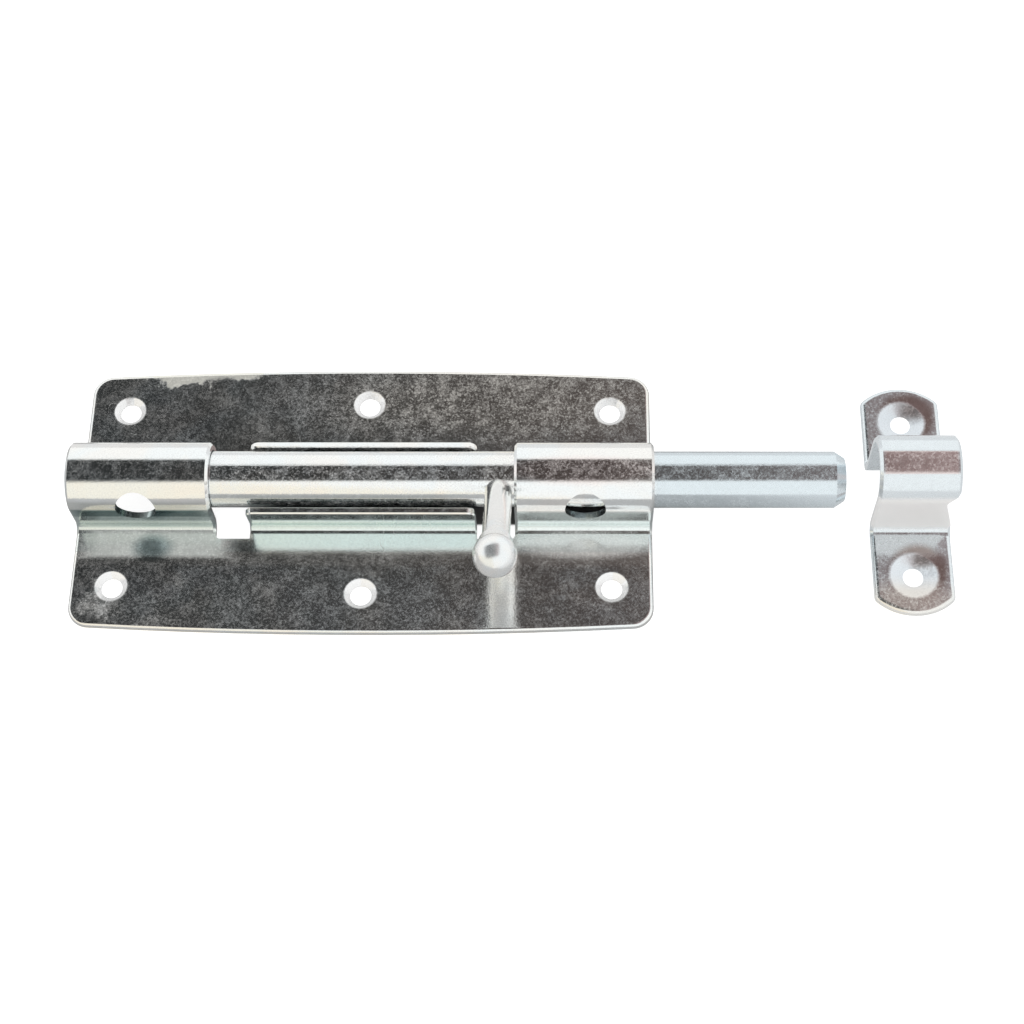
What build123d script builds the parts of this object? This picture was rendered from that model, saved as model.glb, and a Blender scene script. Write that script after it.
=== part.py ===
from build123d import *
from math import cos, radians, sin
import os

# A sliding bolt in bright zinc-plated steel, with its separate keeper.
# The back of the plate lies on Z = 0 and the origin is the middle of its four corner screws.
# +Z points out of the door, and +X is the way the bar shoots. All sizes are millimetres.

# Sheet steel, shared by the plate and the keeper
sheet = 1.5
bend_radius = 1.5
sheet_edge_round = 0.9

# Flat of the plate and its screw holes
plate_length = 124.0
plate_end_width = 60.4
plate_bow = 1.8
plate_corner = 4.6
corner_screw_inset = 8.8
middle_screw_inset = 9.0
plate_screw_dia = 4.5
plate_sink_dia = 6.9
sink_angle = 90.0

# Round bar, as it stands when shot, and its play in the loops
bar_dia = 12.0
bar_off_door = 3.6
bar_out = 40.3
bar_tail_hold = 8.0
bar_point_length = 2.1
bar_point_depth = 1.4
guide_clearance = 0.35

# Two loops folded over the bar, one at each end of the plate
tail_loop_length = 30.2
nose_loop_length = 29.4
loop_lean = 4.0
loop_edge_bevel = 0.55
loop_hole_dia = 8.6
loop_hole_inset = 14.4
loop_hole_tilt = 8.0

# Two low side walls between the loops
wall_above_axis = 1.1
wall_lean = 9.0
wall_clearance = 1.2
wall_corner = 1.8
wall_edge_bevel = 0.3

# Gaps between walls and loops, into which the handle drops
nose_gap_play = 2.4
tail_gap_play = 1.6
relief_past_wall = 1.4
relief_wall_corner = 2.4
relief_loop_corner = 1.0

# Handle, raised clear of the side walls
stem_dia = 5.8
stem_to_loop = 0.4
stem_lift = 35.0
seat_clearance = 0.1
ball_dia = 9.0
ball_reach = 33.0
collar_dia = 7.1
collar_behind_ball = 5.0
collar_taper = 0.5

# Keeper, one strip folded into a taller loop with a screw tab at each end
keeper_gap = 6.2
keeper_play = 0.2
keeper_headroom = 3.8
keeper_width = 17.0
keeper_length = 54.6
keeper_end_bulge = 3.6
keeper_end_corner = 1.6
keeper_edge_round = 1.0
keeper_edge_bevel = 0.6
keeper_screw_inset = 8.8
keeper_screw_dia = 4.3
keeper_dish_dia = 9.8
keeper_dish_angle = 130.0
keeper_waist = 2.7
keeper_waist_low = 2.5
keeper_shoulder_rise = 3.0
keeper_waist_round = 2.0

# What follows from those sizes
half_plate = plate_length / 2
half_end = plate_end_width / 2
corner_screw_x = plate_length - 2 * corner_screw_inset
corner_screw_y = plate_end_width - 2 * corner_screw_inset
middle_screw_y = plate_end_width + 2 * plate_bow - 2 * middle_screw_inset
bend_middle = bend_radius + sheet / 2
bar_radius = bar_dia / 2
bar_height = bar_off_door + bar_radius
loop_outer = bar_radius + guide_clearance + sheet
tail_loop_end = tail_loop_length - half_plate
nose_loop_end = half_plate - nose_loop_length
wall_tail = tail_loop_end + stem_dia + tail_gap_play
wall_nose = nose_loop_end - stem_dia - nose_gap_play
stem_x = nose_loop_end - stem_to_loop - stem_dia / 2
bar_right = half_plate + bar_out
bar_left = tail_loop_end - bar_tail_hold
keeper_left = bar_right + keeper_gap
keeper_x = keeper_left + keeper_width / 2
keeper_right = keeper_left + keeper_width
keeper_outer = bar_radius + keeper_play + sheet
keeper_centre = bar_height + bar_radius + keeper_headroom + sheet - keeper_outer
keeper_corner_y = keeper_length / 2 - keeper_end_bulge
keeper_screw_y = keeper_length - 2 * keeper_screw_inset


def side_line(top_y, top_z, lean):
    """Middle line of one side, leaning in towards its foot: top, foot, middle and end of the bend."""
    tilt = radians(lean)
    foot_z = sheet / 2 + bend_middle * (1 + sin(tilt))
    foot_y = top_y - (top_z - foot_z) * sin(tilt) / cos(tilt)
    centre_y = foot_y + bend_middle * cos(tilt)
    half_turn = radians((90 + lean) / 2)
    middle = (
        centre_y - bend_middle * sin(half_turn),
        sheet / 2 + bend_middle * (1 - cos(half_turn)),
    )
    return (top_y, top_z), (foot_y, foot_z), middle, (centre_y, sheet / 2)


def loop_side(outer, height, lean):
    """One side of a loop, from where the arch ends to where the flat begins."""
    radius = outer - sheet / 2
    return side_line(radius * cos(radians(lean)), height - radius * sin(radians(lean)), lean)


def folded_loop(start_x, length, outer, height, bevel, lean=0.0):
    """Sheet folded up, over and down again, the outside edges of both its ends eased."""
    top, foot, middle, end = loop_side(outer, height, lean)
    with BuildPart() as loop:
        with BuildSketch(Plane.YZ.offset(start_x)):
            with BuildLine():
                Line(top, foot)
                ThreePointArc(foot, middle, end)
                mirror(about=Plane.YZ)
                ThreePointArc(top, (0, height + outer - sheet / 2), (-top[0], top[1]))
            trace(line_width=sheet)
        extrude(amount=length)
        arcs = loop.edges().filter_by(GeomType.CIRCLE)
        chamfer(arcs.filter_by(lambda edge: abs(edge.radius - outer) < 0.01), bevel)
    return loop.part


wall_side = side_line(bar_radius + wall_clearance + sheet / 2, bar_height + wall_above_axis, wall_lean)


def side_wall():
    """One low wall folded up beside the bar, leaning out at its top, where its corners are rounded."""
    top, foot, middle, end = wall_side
    with BuildPart() as wall:
        with BuildSketch(Plane.YZ.offset(wall_tail)):
            with BuildLine():
                Line(top, foot)
                ThreePointArc(foot, middle, end)
            trace(line_width=sheet)
        extrude(amount=wall_nose - wall_tail)
        corners = wall.faces().sort_by(Axis.Z)[-1].edges().filter_by(Axis.X, reverse=True)
        fillet(corners, wall_corner)
        outline = wall.faces().sort_by(Axis.Z)[-1].edges().filter_by(Axis.X)
        chamfer(outline, wall_edge_bevel)
    return wall.part


tail_loop = folded_loop(
    -half_plate, tail_loop_length, loop_outer, bar_height, loop_edge_bevel, loop_lean
)
nose_loop = folded_loop(
    nose_loop_end, nose_loop_length, loop_outer, bar_height, loop_edge_bevel, loop_lean
)
low_wall = side_wall()
loop_foot = loop_side(loop_outer, bar_height, loop_lean)[-1][0]
wall_foot = wall_side[-1][0]
relief_half = bar_radius + wall_clearance + sheet + relief_past_wall

# Plate: one pierced blank, its middle folded up into two loops and two side walls
with BuildPart() as bolt_plate:
    # Wings with bowed long edges, and the front of their outline rounded by the press
    with BuildSketch() as outline:
        with BuildLine():
            Line((-half_plate, -half_end), (-half_plate, half_end))
            ThreePointArc((-half_plate, half_end), (0, half_end + plate_bow), (half_plate, half_end))
            Line((half_plate, half_end), (half_plate, -half_end))
            ThreePointArc((half_plate, -half_end), (0, -half_end - plate_bow), (-half_plate, -half_end))
        make_face()
        fillet(outline.vertices(), plate_corner)
    extrude(amount=sheet)
    fillet(bolt_plate.faces().sort_by(Axis.Z)[-1].edges(), sheet_edge_round)
    # The middle is open to the back: under the loops, between the walls and beside their ends
    with BuildSketch():
        with Locations((-half_plate, 0)):
            Rectangle(tail_loop_length, 2 * loop_foot, align=(Align.MIN, Align.CENTER))
        with Locations((half_plate, 0)):
            Rectangle(nose_loop_length, 2 * loop_foot, align=(Align.MAX, Align.CENTER))
        with Locations((wall_tail, 0)):
            Rectangle(wall_nose - wall_tail, 2 * wall_foot, align=(Align.MIN, Align.CENTER))
    extrude(amount=sheet, mode=Mode.SUBTRACT)
    for loop_end, wall_end in ((tail_loop_end, wall_tail), (nose_loop_end, wall_nose)):
        with BuildSketch() as relief:
            with Locations(((wall_end + loop_end) / 2, 0)):
                Rectangle(abs(wall_end - loop_end), 2 * relief_half)
            corners = relief.vertices()
            fillet(corners.filter_by(lambda corner: abs(corner.X - loop_end) < 0.01), relief_loop_corner)
            fillet(corners.filter_by(lambda corner: abs(corner.X - wall_end) < 0.01), relief_wall_corner)
        extrude(amount=sheet, mode=Mode.SUBTRACT)
    add(tail_loop)
    add(nose_loop)
    add(low_wall)
    add(mirror(low_wall, about=Plane.XZ, mode=Mode.PRIVATE))
    # A round hole low in the front of each loop
    for side in (-1, 1):
        tilt = radians(loop_hole_tilt)
        hole_plane = Plane(
            origin=(side * (half_plate - loop_hole_inset), 0, bar_height),
            x_dir=(1, 0, 0),
            z_dir=(0, -cos(tilt), sin(tilt)),
        )
        with Locations(hole_plane):
            Cylinder(
                loop_hole_dia / 2,
                2 * loop_outer,
                align=(Align.CENTER, Align.CENTER, Align.MIN),
                mode=Mode.SUBTRACT,
            )
    # Six countersunk screw holes
    with Locations((0, 0, sheet)):
        with GridLocations(corner_screw_x, corner_screw_y, 2, 2):
            CounterSinkHole(plate_screw_dia / 2, plate_sink_dia / 2, counter_sink_angle=sink_angle)
        with GridLocations(1, middle_screw_y, 1, 2):
            CounterSinkHole(plate_screw_dia / 2, plate_sink_dia / 2, counter_sink_angle=sink_angle)

# Bar: round bar stock with both ends pointed
with BuildPart() as bar:
    with BuildSketch(Plane.XZ):
        with BuildLine():
            Polyline(
                (bar_left, bar_height),
                (bar_left, bar_height + bar_radius - bar_point_depth),
                (bar_left + bar_point_length, bar_height + bar_radius),
                (bar_right - bar_point_length, bar_height + bar_radius),
                (bar_right, bar_height + bar_radius - bar_point_depth),
                (bar_right, bar_height),
                close=True,
            )
        make_face()
    revolve(axis=Axis((0, 0, bar_height), (1, 0, 0)))

# Handle: a round stem with a ball head, its foot hollowed to sit on the bar
lift = radians(stem_lift)
handle_plane = Plane(
    origin=(stem_x, 0, bar_height),
    x_dir=(1, 0, 0),
    z_dir=(0, -sin(lift), -cos(lift)),
)
collar_start = ball_reach - collar_behind_ball
with BuildPart() as handle:
    with BuildSketch(handle_plane):
        with BuildLine():
            Polyline(
                (0, 0),
                (stem_dia / 2, 0),
                (stem_dia / 2, collar_start - collar_taper),
                (collar_dia / 2, collar_start),
                (collar_dia / 2, ball_reach),
                (0, ball_reach),
                close=True,
            )
        make_face()
        with Locations((0, ball_reach)):
            Circle(ball_dia / 2)
        Rectangle(ball_dia, 3 * ball_reach, align=(Align.MAX, Align.CENTER), mode=Mode.SUBTRACT)
    revolve(axis=Axis(handle_plane.origin, handle_plane.y_dir))
    with Locations(Plane(origin=(stem_x, 0, bar_height), z_dir=(1, 0, 0))):
        Cylinder(bar_radius + seat_clearance, 2 * ball_dia, mode=Mode.SUBTRACT)

# Keeper: a strip with bulged ends, folded into a loop a little taller than those of the plate
keeper_loop = folded_loop(keeper_left, keeper_width, keeper_outer, keeper_centre, keeper_edge_bevel)
keeper_foot = loop_side(keeper_outer, keeper_centre, 0)[-1][0]
with BuildPart() as keeper:
    with BuildSketch() as keeper_outline:
        with BuildLine():
            Line((keeper_left, -keeper_corner_y), (keeper_left, keeper_corner_y))
            ThreePointArc(
                (keeper_left, keeper_corner_y),
                (keeper_x, keeper_length / 2),
                (keeper_right, keeper_corner_y),
            )
            Line((keeper_right, keeper_corner_y), (keeper_right, -keeper_corner_y))
            ThreePointArc(
                (keeper_right, -keeper_corner_y),
                (keeper_x, -keeper_length / 2),
                (keeper_left, -keeper_corner_y),
            )
        make_face()
        fillet(keeper_outline.vertices(), keeper_end_corner)
    extrude(amount=sheet)
    fillet(keeper.faces().sort_by(Axis.Z)[-1].edges(), keeper_edge_round)
    with BuildSketch():
        with Locations((keeper_x, 0)):
            Rectangle(keeper_width, 2 * keeper_foot)
    extrude(amount=sheet, mode=Mode.SUBTRACT)
    add(keeper_loop)
    # The walls are waisted on the far side from the bolt, deepest where the arch begins
    with BuildSketch(Plane.XZ) as waist:
        with BuildLine():
            Polyline(
                (keeper_right, keeper_waist_low),
                (keeper_right - keeper_waist, keeper_centre),
                (keeper_right, keeper_centre + keeper_shoulder_rise),
                (keeper_right + sheet, keeper_centre + keeper_shoulder_rise),
                (keeper_right + sheet, keeper_waist_low),
                close=True,
            )
        make_face()
        fillet(waist.vertices().sort_by(Axis.X)[0], keeper_waist_round)
    extrude(amount=keeper_length, both=True, mode=Mode.SUBTRACT)
    # Dished screw holes, one in each tab
    with Locations((keeper_x, 0, sheet)):
        with GridLocations(1, keeper_screw_y, 1, 2):
            CounterSinkHole(
                keeper_screw_dia / 2,
                keeper_dish_dia / 2,
                counter_sink_angle=keeper_dish_angle,
            )

for piece, name in ((bolt_plate, "bolt_plate"), (bar, "bar"), (handle, "handle"), (keeper, "keeper")):
    piece.part.label = name

os.makedirs("parts", exist_ok=True)
export_step(bolt_plate.part, "parts/bolt_plate.step")
export_step(bar.part, "parts/bar.step")
export_step(handle.part, "parts/handle.step")
export_step(keeper.part, "parts/keeper.step")
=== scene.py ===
import math
import bpy
from mathutils import Euler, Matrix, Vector

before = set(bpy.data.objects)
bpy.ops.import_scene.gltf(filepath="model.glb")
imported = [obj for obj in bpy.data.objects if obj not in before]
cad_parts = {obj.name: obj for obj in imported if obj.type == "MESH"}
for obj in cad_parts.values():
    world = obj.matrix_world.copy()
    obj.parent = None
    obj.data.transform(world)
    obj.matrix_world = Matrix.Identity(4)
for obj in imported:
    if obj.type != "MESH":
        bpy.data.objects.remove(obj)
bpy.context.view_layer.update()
bpy.ops.object.select_all(action="DESELECT")

# The plate: one pierced steel blank, its middle folded up into two loops and two side walls.
# Its bright zinc is electroplated over rolled sheet, so it mirrors what is around it, and shows
# the sheet's fine grain, cloudy warm and cool patches, light flecks and hair scratches.
mm = 0.001
zinc_warm = (0.87, 0.86, 0.84)
zinc_cool = (0.84, 0.87, 0.88)


def new_group(name, inputs, outputs):
    """An empty shader node group with its sockets, and its input and output nodes."""
    group = bpy.data.node_groups.new(name, "ShaderNodeTree")
    for label, kind, value in inputs:
        socket = group.interface.new_socket(name=label, in_out="INPUT", socket_type=kind)
        if value is not None:
            socket.default_value = value
    for label, kind in outputs:
        group.interface.new_socket(name=label, in_out="OUTPUT", socket_type=kind)
    entry = group.nodes.new("NodeGroupInput")
    leave = group.nodes.new("NodeGroupOutput")
    return group, entry, leave


def maths(tree, operation, first, second=None, third=None, clamp=False):
    """One Math node, fed by sockets or plain numbers, and its result."""
    node = tree.nodes.new("ShaderNodeMath")
    node.operation = operation
    node.use_clamp = clamp
    for index, value in enumerate((first, second, third)):
        if value is None:
            continue
        if isinstance(value, (int, float)):
            node.inputs[index].default_value = value
        else:
            tree.links.new(value, node.inputs[index])
    return node.outputs[0]


def noise(tree, vector, scale, detail, roughness=0.5, distortion=0.0):
    """One Noise Texture, its scale from a socket, and its value."""
    node = tree.nodes.new("ShaderNodeTexNoise")
    tree.links.new(vector, node.inputs["Vector"])
    tree.links.new(scale, node.inputs["Scale"])
    node.inputs["Detail"].default_value = detail
    node.inputs["Roughness"].default_value = roughness
    node.inputs["Distortion"].default_value = distortion
    return node.outputs["Fac"]


def step(tree, value, low, high):
    """A smooth step from 0 to 1 between low and high, which may run downwards."""
    node = tree.nodes.new("ShaderNodeMapRange")
    node.interpolation_type = "SMOOTHSTEP"
    tree.links.new(value, node.inputs["Value"])
    node.inputs["From Min"].default_value = low
    node.inputs["From Max"].default_value = high
    return node.outputs["Result"]


def grain_group():
    """Fine grain of plated rolled sheet: a height for bumps, a speckle, and sparse light flecks.
    Each of its four noises has a share of one scale, so that one grain size drives them all."""
    height_scale = 0.6
    mottle_scale = 0.11
    salt_scale = 0.65
    fleck_scale = 0.5
    mottle_limits = (0.44, 0.62)
    salt_limits = (0.49, 0.67)
    fleck_limits = (0.70, 0.80)
    mottle_weight = 0.7
    salt_weight = 0.6
    group, entry, leave = new_group(
        "rolled_zinc_grain",
        [("Vector", "NodeSocketVector", None), ("Grain Size", "NodeSocketFloat", 0.3 * mm)],
        [("Height", "NodeSocketFloat"), ("Speckle", "NodeSocketFloat"), ("Flecks", "NodeSocketFloat")],
    )
    place = entry.outputs["Vector"]
    scale = maths(group, "DIVIDE", 1.0, entry.outputs["Grain Size"])
    height = noise(group, place, maths(group, "MULTIPLY", scale, height_scale), detail=2.0, roughness=0.6)
    mottle = noise(group, place, maths(group, "MULTIPLY", scale, mottle_scale), detail=4.0, roughness=1.0)
    salt = noise(group, place, maths(group, "MULTIPLY", scale, salt_scale), detail=1.0)
    spots = noise(group, place, maths(group, "MULTIPLY", scale, fleck_scale), detail=1.0)
    broad = maths(group, "MULTIPLY", step(group, mottle, *mottle_limits), mottle_weight)
    speckle = maths(group, "MULTIPLY_ADD", step(group, salt, *salt_limits), salt_weight, broad)
    group.links.new(height, leave.inputs["Height"])
    group.links.new(speckle, leave.inputs["Speckle"])
    group.links.new(step(group, spots, *fleck_limits), leave.inputs["Flecks"])
    return group


def cloud_group():
    """Slow clouds of warmer and cooler, clearer and duller zinc, about a centimetre across."""
    dull_scale = 2.7
    tint_limits = (0.36, 0.64)
    dull_limits = (0.35, 0.75)
    group, entry, leave = new_group(
        "zinc_clouds",
        [("Vector", "NodeSocketVector", None), ("Cloud Size", "NodeSocketFloat", 12 * mm)],
        [("Tint", "NodeSocketColor"), ("Dull", "NodeSocketFloat")],
    )
    place = entry.outputs["Vector"]
    scale = maths(group, "DIVIDE", 1.0, entry.outputs["Cloud Size"])
    warmth = noise(group, place, scale, detail=3.0, roughness=0.55, distortion=0.6)
    tint = group.nodes.new("ShaderNodeMix")
    tint.data_type = "RGBA"
    tint.inputs["A"].default_value = (*zinc_cool, 1)
    tint.inputs["B"].default_value = (*zinc_warm, 1)
    group.links.new(step(group, warmth, *tint_limits), tint.inputs["Factor"])
    dull = noise(group, place, maths(group, "MULTIPLY", scale, dull_scale), detail=4.0, roughness=0.6)
    group.links.new(tint.outputs["Result"], leave.inputs["Tint"])
    group.links.new(step(group, dull, *dull_limits), leave.inputs["Dull"])
    return group


def scratch_group():
    """Hair scratches: the narrow creases of a slow noise at its middle value, kept in some places."""
    noise_middle = 0.5
    crease_half = 0.004
    place_scale = 0.9
    place_limits = (0.52, 0.66)
    group, entry, leave = new_group(
        "hair_scratches",
        [("Vector", "NodeSocketVector", None), ("Spread", "NodeSocketFloat", 14 * mm)],
        [("Mask", "NodeSocketFloat")],
    )
    place = entry.outputs["Vector"]
    scale = maths(group, "DIVIDE", 1.0, entry.outputs["Spread"])
    field = noise(group, place, scale, detail=1.0, distortion=1.4)
    crease = maths(group, "ABSOLUTE", maths(group, "SUBTRACT", field, noise_middle))
    line = step(group, crease, crease_half, 0.0)
    places = noise(group, place, maths(group, "MULTIPLY", scale, place_scale), detail=2.0)
    mask = maths(group, "MULTIPLY", line, step(group, places, *place_limits))
    group.links.new(mask, leave.inputs["Mask"])
    return group


grain = grain_group()
clouds = cloud_group()
scratches = scratch_group()


def place_group(tree, group, vector, **values):
    """A group node in a material, fed with the piece's own coordinates."""
    node = tree.nodes.new("ShaderNodeGroup")
    node.node_tree = group
    tree.links.new(vector, node.inputs["Vector"])
    for label, value in values.items():
        node.inputs[label.replace("_", " ")].default_value = value
    return node


def patch_mask(tree, place, uneven, name, centre, reach, fade, shape, ragged):
    """1 inside a space, 0 outside it, with a soft rim, which uneven can make ragged.
    Centre and reach are in mm, and fade is the rim's half width as a share of the reach.
    The shape is round, boxed, or paired, which is round with its likes across both axes."""
    near = tree.nodes.new("ShaderNodeMapping")
    near.label = name
    near.inputs["Scale"].default_value = [1 / (size * mm) for size in reach]
    near.inputs["Location"].default_value = [-spot / size for spot, size in zip(centre, reach)]
    if shape == "paired":
        folded = tree.nodes.new("ShaderNodeVectorMath")
        folded.operation = "ABSOLUTE"
        tree.links.new(place, folded.inputs[0])
        place = folded.outputs["Vector"]
    tree.links.new(place, near.inputs["Vector"])
    if shape == "boxed":
        apart = tree.nodes.new("ShaderNodeSeparateXYZ")
        tree.links.new(near.outputs["Vector"], apart.inputs["Vector"])
        sides = [maths(tree, "ABSOLUTE", apart.outputs[axis]) for axis in "XYZ"]
        far = maths(tree, "MAXIMUM", maths(tree, "MAXIMUM", sides[0], sides[1]), sides[2])
    else:
        measure = tree.nodes.new("ShaderNodeVectorMath")
        measure.operation = "LENGTH"
        tree.links.new(near.outputs["Vector"], measure.inputs[0])
        far = measure.outputs["Value"]
    if ragged:
        far = maths(tree, "MULTIPLY_ADD", uneven, -ragged, maths(tree, "ADD", far, ragged / 2))
    return step(tree, far, 1 + fade, 1 - fade)


def blend_colours(tree, factor, first, second):
    """A colour mixed from two, each a plain colour or a socket."""
    node = tree.nodes.new("ShaderNodeMix")
    node.data_type = "RGBA"
    tree.links.new(factor, node.inputs["Factor"])
    for label, value in (("A", first), ("B", second)):
        if isinstance(value, tuple):
            node.inputs[label].default_value = (*value, 1)
        else:
            tree.links.new(value, node.inputs[label])
    return node.outputs["Result"]


def patch(name, centre, reach, fade, shape="round", ragged=0.0, haze=0.0, grainy=0.0, rough=0.0, tint=None):
    """A named space that differs from the rest, and how: by more haze, even or as grainy as the
    speckle, by more roughness, or by a tint that takes the place of the colour."""
    space = (name, centre, reach, fade, shape, ragged)
    change = (haze, grainy, rough, tint)
    return space, change


def zinc_material(name, roughness, haze, grain_size, grain_depth, cloud_size, scratch_spread, patches):
    """Bright plated zinc. Haze is how much of the light the grain scatters instead of mirroring.
    Sizes, depths and spreads are in metres."""
    clear_speckle = 0.75
    dull_speckle = 0.5
    dull_roughness = 0.04
    scratch_haze = 0.12
    scratch_roughness = 0.2
    material = bpy.data.materials.new(name)
    material.use_nodes = True
    tree = material.node_tree
    shader = tree.nodes["Principled BSDF"]
    place = tree.nodes.new("ShaderNodeTexCoord").outputs["Object"]
    fine = place_group(tree, grain, place, Grain_Size=grain_size)
    cloud = place_group(tree, clouds, place, Cloud_Size=cloud_size)
    lines = place_group(tree, scratches, place, Spread=scratch_spread)
    share = maths(tree, "MULTIPLY_ADD", cloud.outputs["Dull"], dull_speckle, clear_speckle)
    misty = maths(tree, "MULTIPLY", maths(tree, "MULTIPLY", fine.outputs["Speckle"], share), haze)
    misty = maths(tree, "MULTIPLY_ADD", fine.outputs["Flecks"], haze, misty)
    misty = maths(tree, "MULTIPLY_ADD", lines.outputs["Mask"], scratch_haze, misty)
    rough = maths(tree, "MULTIPLY_ADD", cloud.outputs["Dull"], dull_roughness, roughness)
    colour = cloud.outputs["Tint"]
    for space, (even, grainy, rougher, tint) in patches:
        mask = patch_mask(tree, place, cloud.outputs["Dull"], *space)
        more = maths(tree, "MULTIPLY_ADD", fine.outputs["Speckle"], grainy, even)
        misty = maths(tree, "MULTIPLY_ADD", mask, more, misty)
        if rougher:
            rough = maths(tree, "MULTIPLY_ADD", mask, rougher, rough)
        if tint:
            colour = blend_colours(tree, mask, colour, tint)
    tree.links.new(colour, shader.inputs["Base Color"])
    tree.links.new(maths(tree, "SUBTRACT", 1.0, misty, clamp=True), shader.inputs["Metallic"])
    scratched = maths(tree, "MULTIPLY_ADD", lines.outputs["Mask"], scratch_roughness, rough)
    tree.links.new(scratched, shader.inputs["Roughness"])
    bump = tree.nodes.new("ShaderNodeBump")
    bump.inputs["Strength"].default_value = 1.0
    bump.inputs["Distance"].default_value = grain_depth
    tree.links.new(fine.outputs["Height"], bump.inputs["Height"])
    tree.links.new(bump.outputs["Normal"], shader.inputs["Normal"])
    return material


def finish_node(name, material):
    """Gives a CAD node its material."""
    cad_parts[name].data.materials.clear()
    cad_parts[name].data.materials.append(material)


plate_patches = (
    patch(
        "cloudy warm back wing", centre=(28, 24, 1), reach=(38, 10, 9), fade=0.6,
        haze=0.02, grainy=0.22, tint=(0.86, 0.83, 0.78),
    ),
    patch(
        "light grain of the front wing", centre=(-10, -27, 1), reach=(70, 9, 3), fade=0.5,
        haze=0.015, grainy=0.05,
    ),
    patch(
        "pinkish crest of the nose loop", centre=(47, -1.6, 17), reach=(16, 3.0, 3), fade=0.3,
        grainy=0.18, tint=(0.86, 0.79, 0.77),
    ),
    patch(
        "rubbed end of the nose loop", centre=(57, -1.6, 17), reach=(4.5, 5, 4), fade=0.5, ragged=0.8,
        haze=0.03, grainy=0.15,
    ),
    patch(
        "soft strip along the front folds", centre=(0, -12, 1.25), reach=(70, 4.5, 0.75), fade=0.25,
        shape="boxed", rough=0.05, tint=(0.99, 0.97, 0.94),
    ),
    patch(
        "soft insides of the front folds", centre=(0, -9, 2.9), reach=(70, 3, 1.1), fade=0.3,
        shape="boxed", rough=0.10,
    ),
    # Painted shade: a blue-grey tint on the front faces of the wall and the tail loop.
    patch(
        "painted bluish shade on the wall and tail loop fronts", centre=(-18, -9.5, 5.5), reach=(47, 3.5, 4.0), fade=0.2,
        shape="boxed", tint=(0.70, 0.80, 0.80),
    ),
    # Painted shade: a blue-grey tint on the front face of the nose loop.
    patch(
        "painted bluish shade on the nose loop front", centre=(48, -9.5, 5.5), reach=(17, 3.5, 4.0), fade=0.2,
        shape="boxed", tint=(0.80, 0.87, 0.87),
    ),
    # Painted reflection: more haze and a pale tint brighten the plate where it mirrors the tail loop.
    patch(
        "painted light reflection before the tail loop", centre=(-44.4, -11.3, 2), reach=(15, 3.2, 1.4), fade=0.25,
        shape="boxed", haze=0.52, tint=(0.94, 0.97, 0.93),
    ),
    # Painted reflection: a dark tinted spot on the plate where it mirrors the tail loop's hole.
    patch(
        "painted dark reflection before the tail loop's hole", centre=(-45.2, -12.2, 2), reach=(3.9, 2.9, 1.3), fade=0.5,
        haze=-0.38, tint=(0.52, 0.64, 0.64),
    ),
    # Painted reflections: a grey band, a dark band and a darker foot tinted onto the tail loop.
    patch(
        "painted grey reflection band of the tail loop", centre=(-47, -8, 11.4), reach=(15.4, 3, 1.3), fade=0.5,
        shape="boxed", tint=(0.56, 0.58, 0.56),
    ),
    patch(
        "painted dark reflection band of the tail loop", centre=(-47, -8, 8.7), reach=(15.4, 4, 1.7), fade=0.3,
        shape="boxed", tint=(0.12, 0.18, 0.18),
    ),
    patch(
        "painted dark reflection on the tail loop's foot", centre=(-47, -9, 4.6), reach=(15.4, 4, 2.4), fade=0.3,
        shape="boxed", tint=(0.43, 0.50, 0.50),
    ),
    # Painted reflection: more haze brightens the plate where it mirrors the nose loop.
    patch(
        "painted light reflection before the nose loop", centre=(47, -11.5, 2), reach=(16, 3.2, 1.4), fade=0.3,
        haze=0.42,
    ),
    patch(
        "white rims of the four corner holes", centre=(53.2, 21.4, 0), reach=(3.5, 3.5, 9), fade=0.1,
        shape="paired", haze=0.65, tint=(0.95, 0.95, 0.95),
    ),
    patch(
        "white rims of the two middle holes", centre=(0, 23, 0), reach=(3.5, 3.5, 9), fade=0.1,
        shape="paired", haze=0.65, tint=(0.95, 0.95, 0.95),
    ),
    patch(
        "pale ragged strip at the back edge", centre=(-40, 31.2, 1), reach=(19, 3.3, 3), fade=0.15,
        ragged=0.9, haze=0.5, tint=(0.88, 0.87, 0.80),
    ),
    patch(
        "worn front corner at the tail", centre=(-59, -26, 1), reach=(4.5, 5, 3), fade=0.3, ragged=1.6,
        haze=0.1, grainy=0.14,
    ),
)
plate_zinc = zinc_material(
    "plate_zinc",
    roughness=0.11,
    haze=0.15,
    grain_size=0.30 * mm,
    grain_depth=0.010 * mm,
    cloud_size=14 * mm,
    scratch_spread=16 * mm,
    patches=plate_patches,
)
finish_node("bolt_plate", plate_zinc)

# The bar: drawn round steel, plated like the plate and rubbed along its length by the loops.
# Both ends are pointed so that they find the loops and the keeper. The free end is duller, and
# the underside between the loops is darkened with painted shade.
bar_patches = (
    patch(
        "bluish free end", centre=(84, 0, 10), reach=(22, 20, 20), fade=0.04,
        shape="boxed", haze=0.04, tint=(0.70, 0.77, 0.81),
    ),
    # Painted reflection: a grey line tinted along the bar's front.
    patch(
        "painted grey reflection line along the front", centre=(-6, -6, 11.4), reach=(26, 1.2, 1.1), fade=0.4,
        shape="boxed", tint=(0.64, 0.67, 0.66),
    ),
    # Painted shade: a near-black tint and less haze darken the underside between the loops.
    patch(
        "painted shade on the underside", centre=(16, 0, 4), reach=(43, 20, 4.4), fade=0.12,
        shape="boxed", haze=-0.3, tint=(0.15, 0.17, 0.18),
    ),
)
bar_zinc = zinc_material(
    "bar_zinc",
    roughness=0.11,
    haze=0.34,
    grain_size=0.30 * mm,
    grain_depth=0.012 * mm,
    cloud_size=9 * mm,
    scratch_spread=10 * mm,
    patches=bar_patches,
)
finish_node("bar", bar_zinc)

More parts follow.
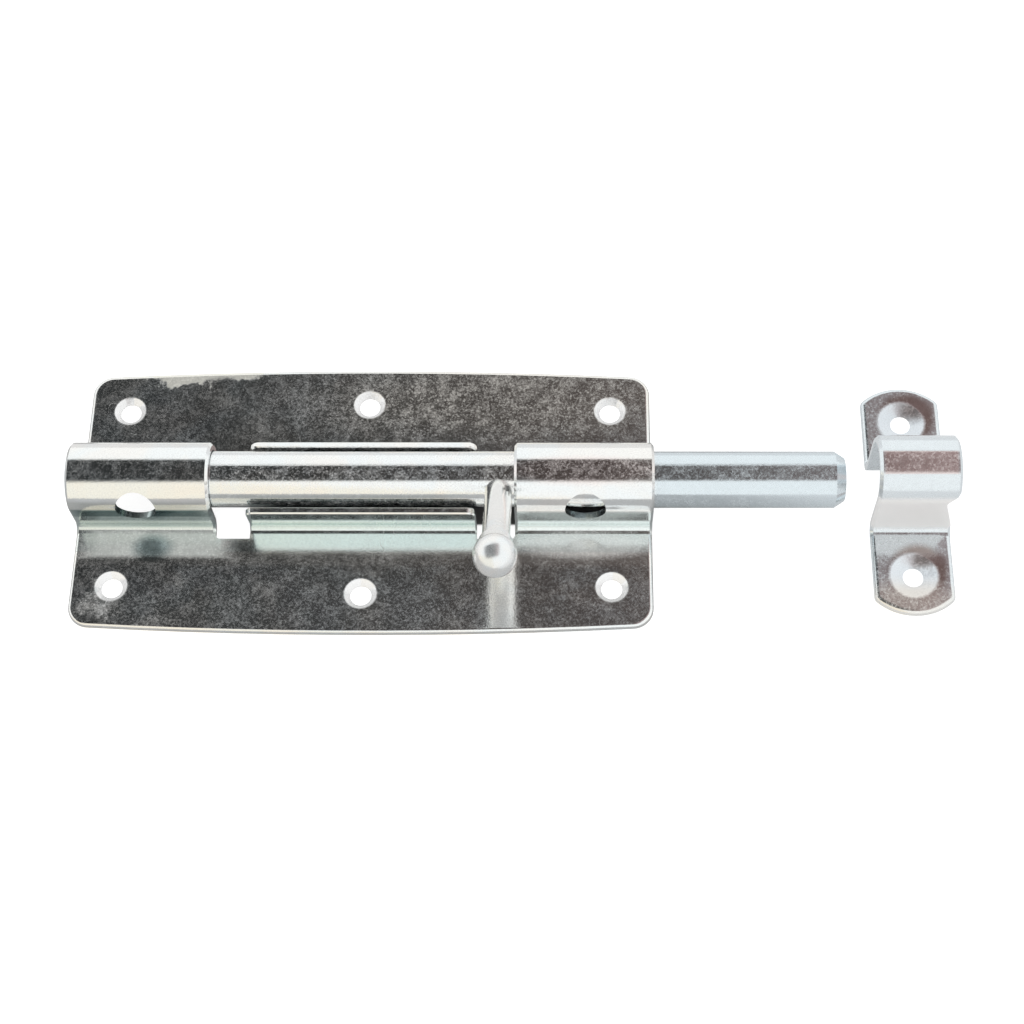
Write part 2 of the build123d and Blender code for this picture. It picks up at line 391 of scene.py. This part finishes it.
# The handle: a turned steel stem with a collar and a ball, in one piece, plated.
# Its foot sits on the bar. It is satin and more even than the sheet, with hardly any grain.
handle_patches = (
    patch(
        "satin all over", centre=(29, -18, 18), reach=(30, 30, 30), fade=0.1,
        haze=0.26,
    ),
    patch(
        "clearer middle of the stem", centre=(29, -12, 17), reach=(6, 9, 9), fade=0.3,
        haze=-0.24, rough=-0.10, tint=(0.93, 0.93, 0.91),
    ),
)
handle_zinc = zinc_material(
    "handle_zinc",
    roughness=0.22,
    haze=0.06,
    grain_size=0.4 * mm,
    grain_depth=0.006 * mm,
    cloud_size=6 * mm,
    scratch_spread=8 * mm,
    patches=handle_patches,
)
finish_node("handle", handle_zinc)

# The keeper: a strip of the same sheet with bulged ends, folded into an arch for the bar's end.
# Each tab is dished round its screw hole. Its zinc is bluer than the plate's, with a painted pink
# reflection on its crest, white dishes, a painted bright upright front, and painted brown shade round the
# holes.
keeper_patches = (
    patch(
        "bluish all over", centre=(117, 0, 8), reach=(30, 60, 30), fade=0.04,
        shape="boxed", haze=0.03, grainy=0.05, tint=(0.74, 0.79, 0.82),
    ),
    # Painted reflection: more haze and a white tint brighten the arch's upright front.
    patch(
        "painted bright reflection on the arch front", centre=(117, -12, 8.8), reach=(20, 7.8, 6.4), fade=0.12,
        shape="boxed", haze=0.75, rough=0.3, tint=(0.98, 0.97, 0.96),
    ),
    # Painted shade: brown tints round the holes, set off towards the back and the nose.
    patch(
        "painted brown shade round the back hole", centre=(118.2, 19.6, 3), reach=(6.9, 6.9, 3), fade=0.15,
        haze=-0.08, tint=(0.42, 0.36, 0.34),
    ),
    patch(
        "painted brown shade round the front hole", centre=(118.2, -17.4, 3), reach=(6.9, 6.9, 3), fade=0.15,
        haze=-0.08, tint=(0.42, 0.36, 0.34),
    ),
    patch(
        "white dishes of both holes", centre=(117, 18.5, 0), reach=(5.2, 5.2, 30), fade=0.10,
        shape="paired", haze=0.85, tint=(0.78, 0.83, 0.87),
    ),
    # Painted shade: darker brown crescents in the dishes, towards the back and the nose.
    patch(
        "painted shade in the back dish", centre=(119.8, 21.8, 1), reach=(3.4, 2.2, 3), fade=0.8, ragged=0.3,
        haze=-0.45, tint=(0.50, 0.44, 0.43),
    ),
    patch(
        "painted shade in the front dish", centre=(119.8, -14.6, 1), reach=(3.6, 1.6, 3), fade=0.8, ragged=0.3,
        haze=-0.45, tint=(0.50, 0.44, 0.43),
    ),
    # Painted reflection: a pink tint on the arch's crest.
    patch(
        "painted pink reflection on the arch crest", centre=(117, -1.6, 20), reach=(7.6, 2.4, 4), fade=0.06,
        shape="boxed", tint=(0.84, 0.75, 0.74),
    ),
    patch(
        "warm end of the front tab", centre=(116, -24, 1), reach=(9, 4, 3), fade=0.6,
        haze=0.07, tint=(0.86, 0.83, 0.78),
    ),
)
keeper_zinc = zinc_material(
    "keeper_zinc",
    roughness=0.14,
    haze=0.30,
    grain_size=0.35 * mm,
    grain_depth=0.012 * mm,
    cloud_size=5 * mm,
    scratch_spread=9 * mm,
    patches=keeper_patches,
)
finish_node("keeper", keeper_zinc)

# The floor: a plain white surface that the plate and the keeper lie on, with a faint shadow.
# The zinc mirrors it as grey, or as white behind the plate and beyond its nose. The strip that
# the bar and the folds cover is dark with painted shadow. From below, or from very near, the floor is
# clear.
floor_half = 3.0
floor_gap = 0.02 * mm
touching_gap = 0.3 * mm
floor_colour = (0.5, 0.5, 0.5)
painted_shadow_colour = (0.1, 0.1, 0.1)
floor_glow = 0.86
mirrored_glow = 0.36
white_beyond_nose = (70 * mm, 118 * mm)
white_behind = (22 * mm, 42 * mm)
bpy.ops.mesh.primitive_plane_add(size=2 * floor_half, location=(0, 0, -floor_gap))
floor = bpy.context.active_object
floor.name = "floor"
floor_paint = bpy.data.materials.new("white_floor")
floor_paint.use_nodes = True
floor_tree = floor_paint.node_tree
floor_tree.nodes.remove(floor_tree.nodes["Principled BSDF"])
floor_place = floor_tree.nodes.new("ShaderNodeTexCoord").outputs["Object"]
# Painted shadow: the strip under the bar and the folds is tinted dark and gets no glow.
painted_shadow = patch_mask(
    floor_tree, floor_place, uneven=None,
    name="painted shadow strip", centre=(18, 0, 0), reach=(38, 6, 20), fade=0.06, shape="boxed", ragged=0.0,
)
shaded = floor_tree.nodes.new("ShaderNodeBsdfDiffuse")
ground_colour = blend_colours(floor_tree, painted_shadow, floor_colour, painted_shadow_colour)
floor_tree.links.new(ground_colour, shaded.inputs["Color"])
lit = floor_tree.nodes.new("ShaderNodeEmission")
lit.inputs["Color"].default_value = (1, 1, 1, 1)
floor_rays = floor_tree.nodes.new("ShaderNodeLightPath")
seen = maths(
    floor_tree,
    "MAXIMUM",
    floor_rays.outputs["Is Camera Ray"],
    floor_rays.outputs["Is Transmission Ray"],
)
glow = maths(floor_tree, "MULTIPLY", seen, floor_glow)
ground = floor_tree.nodes.new("ShaderNodeSeparateXYZ")
floor_tree.links.new(floor_place, ground.inputs["Vector"])
beyond = step(floor_tree, ground.outputs["X"], *white_beyond_nose)
behind = step(floor_tree, ground.outputs["Y"], *white_behind)
paler = maths(floor_tree, "MAXIMUM", beyond, behind)
mirrored = maths(floor_tree, "MULTIPLY", paler, mirrored_glow)
glow = maths(floor_tree, "MULTIPLY_ADD", floor_rays.outputs["Is Glossy Ray"], mirrored, glow)
outside_painted_shadow = maths(floor_tree, "SUBTRACT", 1.0, painted_shadow)
floor_tree.links.new(maths(floor_tree, "MULTIPLY", glow, outside_painted_shadow), lit.inputs["Strength"])
both = floor_tree.nodes.new("ShaderNodeAddShader")
floor_tree.links.new(shaded.outputs["BSDF"], both.inputs[0])
floor_tree.links.new(lit.outputs["Emission"], both.inputs[1])
beneath = floor_tree.nodes.new("ShaderNodeNewGeometry").outputs["Backfacing"]
touching = maths(floor_tree, "LESS_THAN", floor_rays.outputs["Ray Length"], touching_gap)
clear = floor_tree.nodes.new("ShaderNodeMixShader")
floor_tree.links.new(maths(floor_tree, "MAXIMUM", beneath, touching), clear.inputs["Fac"])
floor_tree.links.new(both.outputs["Shader"], clear.inputs[1])
floor_tree.links.new(floor_tree.nodes.new("ShaderNodeBsdfTransparent").outputs["BSDF"], clear.inputs[2])
floor_tree.links.new(clear.outputs["Shader"], floor_tree.nodes["Material Output"].inputs["Surface"])
floor.data.materials.append(floor_paint)

# The light: an even white room with a dark opening overhead, which the flat zinc mirrors.
# The opening is darkest over the plate's tail and lighter and warmer over the keeper, and the
# room is cream in front on the tail's side. Directions are angles from straight up.
opening_front = math.radians(-32.2)
opening_back = math.radians(38.8)
opening_tail = math.radians(-50)
opening_nose = math.radians(24)
front_slant = -0.20
back_slant = -0.10
front_soft = math.radians(6)
back_soft = math.radians(4)
side_soft = math.radians(6)
shades_tail = math.radians(-20)
shades_nose = math.radians(20)
opening_shades = (
    (-16, (0.018, 0.021, 0.022)),
    (-6, (0.028, 0.028, 0.027)),
    (1, (0.056, 0.047, 0.045)),
    (6, (0.120, 0.100, 0.092)),
    (12, (0.340, 0.265, 0.262)),
)
new_ramp_stops = 2
cream_across = (math.radians(-10), math.radians(-14))
cream_along = (math.radians(-20), math.radians(-40))
room_white = (1.09, 1.10, 1.09)
room_cream = (1.05, 0.99, 0.86)
room_light = (1.0, 1.0, 1.0)
world = bpy.data.worlds.new("white_room")
bpy.context.scene.world = world
world.use_nodes = True
room_tree = world.node_tree
background = room_tree.nodes["Background"]
way = room_tree.nodes.new("ShaderNodeTexCoord").outputs["Generated"]
parts = room_tree.nodes.new("ShaderNodeSeparateXYZ")
room_tree.links.new(way, parts.inputs["Vector"])
across = maths(room_tree, "ARCTAN2", parts.outputs["X"], parts.outputs["Z"])
along = maths(room_tree, "ARCTAN2", parts.outputs["Y"], parts.outputs["Z"])
to_back = maths(room_tree, "MULTIPLY_ADD", across, back_slant, along)
to_front = maths(room_tree, "MULTIPLY_ADD", across, front_slant, along)
inside = maths(
    room_tree,
    "MULTIPLY",
    step(room_tree, to_back, opening_back + back_soft, opening_back - back_soft),
    step(room_tree, to_front, opening_front - front_soft, opening_front + front_soft),
)
for limit, soft in ((opening_nose, side_soft), (opening_tail, -side_soft)):
    edge = step(room_tree, across, limit + soft, limit - soft)
    inside = maths(room_tree, "MULTIPLY", inside, edge)
sideways = room_tree.nodes.new("ShaderNodeMapRange")
room_tree.links.new(across, sideways.inputs["Value"])
sideways.inputs["From Min"].default_value = shades_tail
sideways.inputs["From Max"].default_value = shades_nose
shades = room_tree.nodes.new("ShaderNodeValToRGB")
room_tree.links.new(sideways.outputs["Result"], shades.inputs["Fac"])
stops = shades.color_ramp.elements
for index, (angle, colour) in enumerate(opening_shades):
    spot = (math.radians(angle) - shades_tail) / (shades_nose - shades_tail)
    stop = stops[index] if index < new_ramp_stops else stops.new(spot)
    stop.position = spot
    stop.color = (*colour, 1)
creamy = maths(
    room_tree,
    "MULTIPLY",
    step(room_tree, across, *cream_across),
    step(room_tree, along, *cream_along),
)
room = blend_colours(room_tree, creamy, room_white, room_cream)
surroundings = blend_colours(room_tree, inside, room, shades.outputs["Color"])
room_rays = room_tree.nodes.new("ShaderNodeLightPath")
shown = blend_colours(room_tree, room_rays.outputs["Is Glossy Ray"], room_light, surroundings)
room_tree.links.new(shown, background.inputs["Color"])
background.inputs["Strength"].default_value = 1.0

# The camera stands above and in front of the bolt, a little to the right of its middle.
# Its long lens looks down at the plate, slightly turned and rolled.
camera_place = Vector((42.4, -201.4, 390.5)) * mm
camera_tilt = math.radians(26.95)
camera_turn = math.radians(1.38)
camera_roll = math.radians(0.06)
camera_lens = 71.2
camera_sensor = 36.0
camera_near = 10 * mm
camera_far = 20.0
camera_data = bpy.data.cameras.new("camera")
camera_data.lens = camera_lens
camera_data.sensor_width = camera_sensor
camera_data.clip_start = camera_near
camera_data.clip_end = camera_far
camera = bpy.data.objects.new("camera", camera_data)
bpy.context.scene.collection.objects.link(camera)
camera.rotation_mode = "ZYX"
camera.rotation_euler = Euler((camera_tilt, camera_turn, camera_roll), "ZYX")
camera.location = camera_place
bpy.context.scene.camera = camera
bpy.context.scene.view_settings.view_transform = "Standard"
